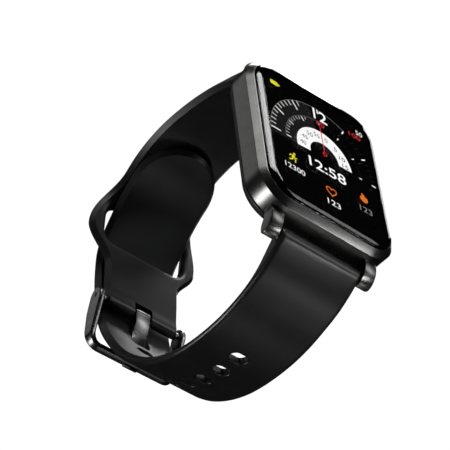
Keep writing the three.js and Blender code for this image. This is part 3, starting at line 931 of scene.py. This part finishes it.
def back_shell():
    """The black moulded back, with its screw sinks, contact holes and sensor recess."""
    profile = [(6.65, 0.55), (5.3, 0.63), (4.05, 0.75), (2.75, 1.0), (1.65, 1.35), (1.0, 1.8),
               (0.65, 2.3), (0.48, 2.75), (0.45, 3.0), (0.5, 3.08), (2.25, 3.1), (2.25, 4.6),
               (3.25, 4.6), (3.25, 2.35)]
    rings = [case_ring(inset, z) for inset, z in profile]
    shell = add_piece("back_shell", loft("back_shell", rings), "back_plastic", "case",
                      replaces=("back_cover",))
    centre = (0, 0, 0)
    carve(shell, lathe("cut", [(10.65, -1), (10.65, 1.35)], centre, steps=96))
    carve(shell, lathe("cut", [(6.5, 1.0), (6.5, 3.0)], centre))
    screw_sink = [(0.85, 5), (0.85, 2.4), (1.45, 2.4), (1.6, 0.9), (2.2, 0)]
    for i in range(1, 5):
        carve(shell, lathe("cut", screw_sink, place_on_back(f"back_screw_{i}")))
    for i in (1, 2):
        carve(shell, lathe("cut", [(1.25, 0), (1.25, 3)], place_on_back(f"charging_contact_{i}")))


def sensor():
    """The dark round window, with a lamp window in the middle and four light sensors round it."""
    profile = [(9.7, 0.0), (10.1, 0.06), (10.4, 0.22), (10.5, 0.45), (10.5, 1.25)]
    window = add_piece("sensor_glass", lathe("sensor_glass", profile, (0, 0, 0), steps=96),
                       "sensor_glass", "case", replaces=("sensor_window",))
    carve(window, lathe("cut", [(3.0, -1), (3.0, 0.12)], (0, 0, 0)))
    lamp = lathe("sensor_lamp", [(2.9, 0.03), (2.95, 0.08), (2.95, 0.14)], (0, 0, 0))
    add_piece("sensor_lamp", lamp, "sensor_glass", "case",
              material=tinted_window("lamp_window", 0.03))
    for i in range(4):
        angle = math.radians(45 + 90 * i)
        place = (6.2 * math.cos(angle), 6.2 * math.sin(angle), 0)
        carve(window, lathe("cut", [(1.5, -1), (1.5, 0.12)], place))
        eye = lathe(f"sensor_eye_{i + 1}", [(1.4, 0.03), (1.45, 0.08), (1.45, 0.14)], place)
        add_piece(f"sensor_eye_{i + 1}", eye, "sensor_glass", "case",
                  material=tinted_window(f"eye_window_{i + 1}", 0.05))


case_shell()
lugs()
side_button()
cover_glass()
printed_border()
back_shell()
sensor()


# ------------------------------------------------------------ what the display shows

# Each colour is a thin layer at its own height, so that none shares a surface with the one below.
DIAL = np.array((0.3, -0.4))
LAYER = 0.012
FACE_LAYERS = {"dim": 8.403, "grey": 8.410, "white": 8.410, "yellow": 8.410, "orange": 8.410,
               "black": 8.423, "red": 8.436}
BATTERY_OUTLINE = [(-12.8, 14.0), (-10.7, 14.0), (-10.7, 15.3), (-12.8, 15.3)]
RUNNER_PLACE = (-9.4, -6.7)
HEART_PLACE = (0.6, -10.5)
FLAME_PLACE = (10.35, -6.4)
FACE_MATERIALS = {
    "dim": lit("display_dim", (1.0, 1.0, 1.0), 0.012),
    "grey": lit("display_grey", (1.0, 1.0, 1.0), 0.30),
    "white": lit("display_white", (1.0, 1.0, 1.0), 1.2),
    "yellow": lit("display_yellow", (0.85, 0.80, 0.03), 1.1),
    "orange": lit("display_orange", (0.90, 0.20, 0.02), 1.0),
    "red": lit("display_red", (0.85, 0.03, 0.03), 0.9),
    "black": MATERIALS["display"],
}


def dial_direction(angle):
    """The way from the dial's centre at an angle in degrees, counted from 3 o'clock to 12."""
    return np.array((math.cos(math.radians(angle)), math.sin(math.radians(angle))))


class FaceLayer:
    """Everything on the display that has one colour, as flat shapes on one level."""

    def __init__(self, colour):
        self.colour = colour
        self.bm = bmesh.new()

    def shape(self, outline):
        """A filled outline."""
        bottom = FACE_LAYERS[self.colour]
        levels = [[self.bm.verts.new(Vector((x, y, z)) * MM) for x, y in outline]
                  for z in (bottom, bottom + LAYER)]
        for level in levels:
            self.bm.faces.new(level)
        for i in range(len(outline)):
            following = (i + 1) % len(outline)
            self.bm.faces.new((levels[0][i], levels[0][following],
                               levels[1][following], levels[1][i]))

    def stroke(self, points, width):
        """A line of even width through points, with square ends."""
        points = np.array(points, float)
        along = np.gradient(points, axis=0)
        along /= np.linalg.norm(along, axis=1)[:, None]
        side = np.column_stack([-along[:, 1], along[:, 0]]) * width / 2
        self.shape([*(points + side), *(points - side)[::-1]])

    def arc(self, radius, width, first, last):
        """Part of a ring round the dial's centre, between two angles in degrees."""
        angles = np.radians(np.linspace(first, last, 60))
        self.stroke(DIAL + radius * np.column_stack([np.cos(angles), np.sin(angles)]), width)

    def tick(self, angle, inner, outer, width):
        """A short line that points away from the dial's centre."""
        direction = dial_direction(angle)
        self.stroke([DIAL + direction * inner, DIAL + direction * outer], width)

    def disc(self, centre, radius):
        self.shape([(centre[0] + radius * math.cos(angle), centre[1] + radius * math.sin(angle))
                    for angle in np.radians(np.arange(0, 360, 15))])

    def number(self, text, centre, height, width, boldness=0.0):
        """Figures in the built-in typeface, scaled to a height and a total width."""
        curve = bpy.data.curves.new("figures", "FONT")
        curve.body = text
        curve.offset = boldness
        written = bpy.data.objects.new("figures", curve)
        bpy.context.collection.objects.link(written)
        evaluated = written.evaluated_get(bpy.context.evaluated_depsgraph_get())
        mesh = bpy.data.meshes.new_from_object(evaluated)
        bpy.data.objects.remove(written)
        corners = np.array([vertex.co[:] for vertex in mesh.vertices])
        low, high = corners.min(axis=0), corners.max(axis=0)
        middle = (low + high) / 2
        top = FACE_LAYERS[self.colour] + LAYER
        scale_x = width / (high[0] - low[0]) * MM
        scale_y = height / (high[1] - low[1]) * MM
        scale = Matrix.Diagonal((scale_x, scale_y, 1.0, 1.0))
        place = Matrix.Translation(Vector((*centre, top)) * MM)
        mesh.transform(place @ scale @ Matrix.Translation((-middle[0], -middle[1], 0.0)))
        self.bm.from_mesh(mesh)
        bpy.data.meshes.remove(mesh)

    def finish(self):
        """Turns the layer into a piece."""
        name = f"display_{self.colour}"
        mesh = finish_mesh(name, self.bm, FLAT_SHAPE_SHARP_DEGREES)
        add_piece(name, mesh, "display", "case", material=FACE_MATERIALS[self.colour])


def dial_scales(face):
    """Two half rings of ticks, bright on the left and fading out over the top to the right."""
    face["dim"].arc(11.2, 7.0, 100, 186)
    face["grey"].arc(14.75, 0.08, 60, 182)
    face["grey"].arc(10.75, 0.06, 95, 182)
    for step in range(31):
        angle = 6 * step
        left = angle > 112
        if step % 5 == 0:
            face["white"].tick(angle, 12.2 if left else 13.4, 14.7, 0.30)
            face["white"].tick(angle, 9.3 if left else 9.8, 10.6, 0.22)
        else:
            minor = face["white" if left else "dim"]
            minor.tick(angle, 13.4, 14.7, 0.17)
            minor.tick(angle, 9.8, 10.6, 0.10)


def dial_band(face):
    """The white half ring with its small black figures."""
    face["white"].arc(5.85, 3.7, 1, 187)
    band_figures = (("15", 8), ("10", 28), ("5", 52), ("0", 78),
                    ("55", 104), ("50", 126), ("45", 150), ("40", 172))
    for text, angle in band_figures:
        face["black"].number(text, DIAL + 6.0 * dial_direction(angle), 1.2, 0.85 * len(text))


def dial_hand(face):
    """The red hand with its ring round the pivot, and the number it points to."""
    angles = np.radians(np.arange(0, 361, 20))
    pivot = np.array((0.5, 0.6))
    ring = pivot + 0.5 * np.column_stack([np.cos(angles), np.sin(angles)])
    face["red"].stroke(ring, 0.26)
    face["red"].stroke([(0.47, 1.1), (0.35, 9.0)], 0.24)
    face["red"].number("60", (0.6, 10.0), 1.5, 2.3)


def figures(face):
    """Every other number: the text, its middle, its height and width, and its boldness."""
    written = (
        ("white", "12", (0.9, 12.6), 3.3, 3.9, 0.01),
        ("white", "12:58", (0.45, -4.35), 2.9, 10.3, 0.01),
        ("white", "12300", (-9.3, -9.9), 1.5, 5.4, 0.0),
        ("white", "123", (0.8, -13.9), 1.6, 3.6, 0.0),
        ("grey", "123", (10.4, -9.9), 1.6, 3.5, 0.0),
        ("white", "50", (12.6, 14.9), 1.4, 1.9, 0.0),
        ("red", "100", (11.0, 13.1), 1.3, 3.4, 0.0),
    )
    for colour, text, centre, height, width, boldness in written:
        face[colour].number(text, centre, height, width, boldness)


def battery_icon(layer):
    layer.shape(rounded(BATTERY_OUTLINE, 0.35))
    layer.stroke([(-10.4, 14.35), (-10.4, 14.95)], 0.3)


def runner_icon(layer):
    """A head, a leaning body, two arms in one line and two legs."""
    x, y = RUNNER_PLACE
    arms = [(x - 1.0, y + 0.1), (x - 0.6, y + 0.6), (x + 0.2, y + 0.55), (x + 0.6, y),
            (x + 1.1, y + 0.2)]
    layer.disc((x + 0.45, y + 1.2), 0.33)
    layer.stroke([(x + 0.2, y + 0.75), (x - 0.2, y - 0.2)], 0.6)
    layer.stroke(arms, 0.26)
    layer.stroke([(x - 0.1, y - 0.1), (x + 0.6, y - 0.5), (x + 0.4, y - 1.3)], 0.32)
    layer.stroke([(x - 0.2, y - 0.2), (x - 0.5, y - 0.9), (x - 1.2, y - 1.0)], 0.32)


def heart_icon(layer):
    turn = np.radians(np.arange(0, 361, 12))
    across = 16 * np.sin(turn) ** 3
    upward = 13 * np.cos(turn) - 5 * np.cos(2 * turn) - 2 * np.cos(3 * turn) - np.cos(4 * turn)
    heart = np.column_stack([across, upward])
    layer.stroke(np.array(HEART_PLACE) + heart * 0.085, 0.26)


def flame_icon(layer):
    x, y = FLAME_PLACE
    flame = spline([(0.0, -1.3), (-0.9, -0.9), (-1.1, 0.0), (-0.5, 0.7), (-0.45, 1.4), (0.3, 0.8),
                    (0.5, 0.3), (0.8, 0.6), (1.1, -0.2), (0.8, -1.0), (0.0, -1.3)], steps=3)
    layer.shape([(x + a, y + b) for a, b in flame[:-1]])


def watch_face():
    face = {colour: FaceLayer(colour) for colour in FACE_LAYERS}
    dial_scales(face)
    dial_band(face)
    dial_hand(face)
    figures(face)
    battery_icon(face["yellow"])
    runner_icon(face["yellow"])
    heart_icon(face["orange"])
    flame_icon(face["orange"])
    for layer in face.values():
        layer.finish()


watch_face()


# ------------------------------------------------------------ buckle

ARM_X = 11.45
ARM_END = 1.7
ARM_HALF_WIDTH = 0.7
CROSSBAR_Y = -10.9
CROSSBAR_HALF_WIDTH = 0.85
BUCKLE_TURN_RADIUS = 2.6
BUCKLE_EDGE_RADIUS = 0.5
BUCKLE_EYE_RADIUS = 0.7
TANG_NOTCH_HALF_WIDTH = 2.1
TANG_HALF_WIDTH = 1.9
BUCKLE_TOP = [(-11.9, -54.1), (-11.5, -53.5), (-10.4, -53.05), (-8.0, -52.0), (-4.2, -50.2),
              (-1.2, -48.7), (0.0, -48.45), (0.8, -48.6), (1.35, -49.0), (1.65, -49.5), (1.75, -50.1)]
BUCKLE_BOTTOM = [(-11.9, -54.6), (-11.5, -55.0), (-10.8, -55.1), (-7.6, -55.0), (-3.4, -54.0),
                 (0.2, -52.4), (0.9, -51.9), (1.4, -51.3), (1.65, -50.7), (1.75, -50.1)]
TANG_BLADE = [(-0.2, -48.9), (-2.6, -49.6), (-5.2, -51.0), (-7.2, -52.7), (-9.2, -54.15),
              (-10.8, -54.6), (-12.1, -54.65)]


def section_ring(centre, across, half_width, bottom, top):
    """A rounded upright section at a point of the buckle's plan."""
    half_height = max((top - bottom) / 2, 0.02)
    corner = min(BUCKLE_EDGE_RADIUS, half_height * 0.98, half_width * 0.98)
    ring = rounded_ring(half_width, half_height, corner, 0.0, steps=6)
    middle = (top + bottom) / 2
    return [(centre[0] + a * across[0], centre[1] + a * across[1], middle + b)
            for a, b, _ in ring]


def buckle_frame():
    """One bar of metal bent into a U, from hinge eye to hinge eye."""
    plan = [(-ARM_X, ARM_END), (-ARM_X, CROSSBAR_Y), (ARM_X, CROSSBAR_Y), (ARM_X, ARM_END)]
    line = np.array(rounded(plan, BUCKLE_TURN_RADIUS, steps=14, closed=False))
    dense = [line[0]]
    for there in line[1:]:
        here = dense[-1]
        count = max(int(np.linalg.norm(there - here) / 0.35), 1)
        dense += [here + (there - here) * (i + 1) / count for i in range(count)]
    dense = np.array(dense)
    tangents = np.gradient(dense, axis=0)
    tangents /= np.linalg.norm(tangents, axis=1)[:, None]
    top, bottom = np.array(sorted(BUCKLE_TOP)), np.array(sorted(BUCKLE_BOTTOM))
    rings = []
    for (x, y), (along_x, along_y) in zip(dense, tangents):
        sideways = abs(along_x)
        half_width = ARM_HALF_WIDTH + (CROSSBAR_HALF_WIDTH - ARM_HALF_WIDTH) * sideways
        upper = np.interp(y, top[:, 0], top[:, 1])
        lower = np.interp(y, bottom[:, 0], bottom[:, 1])
        rings.append(section_ring((x, y), (along_y, -along_x), half_width, lower, upper))
    frame_piece = add_piece("buckle", loft("buckle", rings), "buckle_metal", "buckle",
                            replaces=("buckle_frame",))
    carve(frame_piece, box_mesh(-TANG_NOTCH_HALF_WIDTH, TANG_NOTCH_HALF_WIDTH,
                                -13, -9, -57, -54.0))
    for side in (-1, 1):
        x0, x1 = sorted((side * 10, side * 13))
        carve(frame_piece, rod_mesh(BUCKLE_EYE_RADIUS, x0, x1, *BUCKLE_BAR))


def tang():
    """A strip of metal rolled round the bar and reaching to the crossbar."""
    bar_y, bar_z = BUCKLE_BAR
    roll = [(bar_y + 1.0 * math.cos(a), bar_z + 1.0 * math.sin(a))
            for a in np.radians(np.arange(-150, 91, 10))]
    blade = spline(TANG_BLADE, steps=10)[1:]
    line = np.array(roll + list(blade))
    along = np.gradient(line, axis=0)
    along /= np.linalg.norm(along, axis=1)[:, None]
    arc = Path.measure(line)
    half = np.interp(arc, [0, arc[len(roll)], arc[len(roll)] + 2.5, arc[-1] - 0.8, arc[-1]],
                     [0.28, 0.28, 0.42, 0.42, 0.25])
    out = np.column_stack([-along[:, 1], along[:, 0]]) * half[:, None]
    outline = [tuple(point) for point in line + out]
    outline += [tuple(point) for point in (line - out)[::-1]]
    strip = prism("tang_strip", outline, -TANG_HALF_WIDTH, TANG_HALF_WIDTH, 0.14)
    add_piece("tang_strip", strip, "buckle_metal", "buckle_tang", replaces=("tang",))


buckle_frame()
tang()


# ------------------------------------------------------------ CAD nodes that keep their own shape

NODE_SLOTS = {
    "steel": ["spring_bar_6", "spring_bar_12", "quick_release_6", "quick_release_12", "buckle_bar",
              "motor_can", "motor_base", "microphone", "button_switch",
              "back_screw_1", "back_screw_2", "back_screw_3", "back_screw_4"],
    "contact_gold": ["charging_contact_1", "charging_contact_2", "motor_rotor"],
    "seal_rubber": ["back_gasket", "display_gasket", "button_seal"],
    "display": ["display_panel"],
    "back_plastic": ["speaker"],
    "board": ["main_board", "sensor_board"],
    "battery_foil": ["battery"],
}
for node_slot, nodes in NODE_SLOTS.items():
    for node in nodes:
        shape = frame["nodes"][node]
        shape.data.materials.clear()
        shape.data.materials.append(MATERIALS[node_slot])
        shape.data.shade_smooth()
        shape.data.set_sharp_from_angle(angle=math.radians(FLAT_SHAPE_SHARP_DEGREES))


# ------------------------------------------------------------ floor and lights

def make_floor():
    """A wide white sheet well below the watch, which neither lights it nor shows in its gloss."""
    half = 6000.0
    height = -900.0
    corners = [(x * half, y * half, height) for x, y in ((-1, -1), (1, -1), (1, 1), (-1, 1))]
    floor = bpy.data.objects.new("floor", mesh_of("floor", corners, [(0, 1, 2, 3)]))
    bpy.context.collection.objects.link(floor)
    floor.data.materials.append(glowing("floor_white", 1.04))
    floor.visible_glossy = False
    floor.visible_diffuse = False
    floor.visible_transmission = False


def glowing(name, brightness):
    """A surface with no colour or gloss of its own that only gives off white light."""
    return principled(name, (0.0, 0.0, 0.0), 0.5, Specular_IOR_Level=0.0,
                      Emission_Color=(1.0, 1.0, 1.0, 1.0), Emission_Strength=brightness)


def make_card(name, place, aim, size, brightness, soft_edge=0.7):
    """A light card, millimetres: even, or brightest in the middle and fading out over a soft edge."""
    mesh = bpy.data.meshes.new(name)
    mesh.from_pydata([(-1, -1, 0), (1, -1, 0), (1, 1, 0), (-1, 1, 0)], [], [(0, 1, 2, 3)])
    material = glowing(name, brightness)
    if soft_edge:
        coordinates = add_node(material, "ShaderNodeTexCoord")
        glow = add_node(material, "ShaderNodeTexGradient")
        glow.gradient_type = "SPHERICAL"
        link(material, coordinates.outputs["Object"], glow.inputs["Vector"])
        mapped = spread(material, glow.outputs["Fac"], (0.0, soft_edge), (0.0, brightness))
        mapped.interpolation_type = "SMOOTHSTEP"
        drive(material, mapped.outputs["Result"], "Emission Strength")
    mesh.materials.append(material)
    card = bpy.data.objects.new(name, mesh)
    card.location = Vector(place) * MM
    card.rotation_euler = Vector(np.subtract(place, aim)).to_track_quat("Z", "Y").to_euler()
    card.scale = (size[0] / 2 * MM, size[1] / 2 * MM, 1.0)
    card.visible_camera = False
    bpy.context.collection.objects.link(card)


WATCH_FACE = (0, 0, 9)
KNUCKLE_6 = (0, -26, 4)
FRONT_STRAP = (3, -31, -5)
make_floor()
make_card("left_rim_light", (-60, 794, 765), WATCH_FACE, (1100, 450), 9.0, soft_edge=0.4)
make_card("left_chamfer_light", (-560, 800, 560), WATCH_FACE, (400, 400), 3.5)
make_card("front_rim_light", (571, 180, 920), WATCH_FACE, (800, 560), 3.2)
make_card("right_rim_light", (740, 807, -105), WATCH_FACE, (240, 1000), 3.4, soft_edge=0)
make_card("far_rim_light", (412, 1020, 0), WATCH_FACE, (360, 760), 9.0, soft_edge=0)
make_card("corner_light", (-790, -570, -500), WATCH_FACE, (560, 800), 12.0)
make_card("left_wall_light", (-570, 790, -500), WATCH_FACE, (1000, 1000), 0.45)
make_card("knuckle_light", (24, -50, 33), KNUCKLE_6, (40, 6), 22.0)
make_card("strap_light", (62, -125, 12), FRONT_STRAP, (42, 42), 2.9)
make_card("front_wall_light", (300, -800, -300), WATCH_FACE, (600, 400), 1.0)
